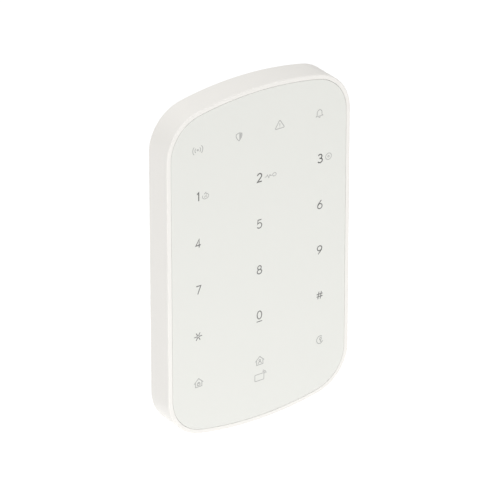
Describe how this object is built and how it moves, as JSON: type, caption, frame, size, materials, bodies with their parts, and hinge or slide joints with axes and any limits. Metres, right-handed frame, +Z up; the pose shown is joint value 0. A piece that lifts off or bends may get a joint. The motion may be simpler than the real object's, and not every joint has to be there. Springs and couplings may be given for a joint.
{
  "type": "alarm keypad panel",
  "caption": "Wall-mounted touch keypad for a wireless alarm: a printed flat panel in a slim round-cornered shell that hooks onto a wall bracket.",
  "frame": {"origin": "middle of the bracket's wall side, on the wall plane", "axes": "+Z up the wall, +Y into the wall, the printed front faces -Y, +X to the right as seen from the front"},
  "size_m": [0.097, 0.0223, 0.165],
  "materials": {
    "panel": "gloss, back-printed",
    "shell": "fine satin moulding",
    "back_shell": "fine spark-eroded grain",
    "tape": "foam tape",
    "film": "frosted film",
    "light_box": "white reflector moulding",
    "lamp": "clear lens",
    "board": "solder mask",
    "chip": "moulded epoxy",
    "shield": "tinned can",
    "copper": "lacquered copper",
    "aerial": "plated strip",
    "ferrite": "ferrite sheet",
    "sounder": "moulded case",
    "switch": "moulded case",
    "plunger": "moulded pin",
    "slider": "moulded button",
    "spring": "drawn wire",
    "contact": "nickel plate",
    "cell_a": "printed jacket",
    "screw": "zinc plate",
    "bracket": "fine spark-eroded grain"
  },
  "bodies": {
    "bracket": {"wall_bracket": "bracket"},
    "unit": {"front_panel": "panel", "panel_adhesive": "tape", "diffuser_film": "film", "front_housing": "shell", "light_guide": "light_box", "key_leds": "lamp", "indicator_leds": "lamp", "main_board": "board", "main_chip": "chip", "touch_chip": "chip", "radio_module": "board", "radio_shield": "shield", "radio_antenna": "aerial", "reader_coil": "copper", "ferrite_sheet": "ferrite", "buzzer": "sounder", "tamper_switch": "switch", "tamper_spring": "spring", "power_switch": "switch", "rear_housing": "back_shell", "battery_1": "cell_a", "battery_2": "cell_a", "battery_3": "cell_a", "battery_4": "cell_a", "cell_spring_1": "spring", "cell_spring_2": "spring", "cell_spring_3": "spring", "cell_spring_4": "spring", "positive_terminal": "contact", "negative_terminal": "contact", "top_link": "contact", "left_link": "contact", "right_link": "contact", "board_screws": "screw", "housing_screws": "screw"},
    "cover": {"battery_cover": "back_shell"},
    "plunger": {"tamper_plunger": "plunger"},
    "slider": {"power_slider": "slider"}
  },
  "joints": [
    {"name": "unit_lift", "type": "slide", "parent": "bracket", "child": "unit", "axis": [0, 0, 1], "range_m": [0, 0.008]},
    {"name": "cover_slide", "type": "slide", "parent": "unit", "child": "cover", "axis": [0, 0, -1], "range_m": [0, 0.005]},
    {"name": "plunger_press", "type": "slide", "parent": "unit", "child": "plunger", "axis": [0, -1, 0], "range_m": [0, 0.0015], "stiffness_N_per_m": 200, "springref_m": -0.001, "deforming": ["tamper_spring"]},
    {"name": "power_slide", "type": "slide", "parent": "unit", "child": "slider", "axis": [1, 0, 0], "range_m": [0, 0.003]}
  ]
}
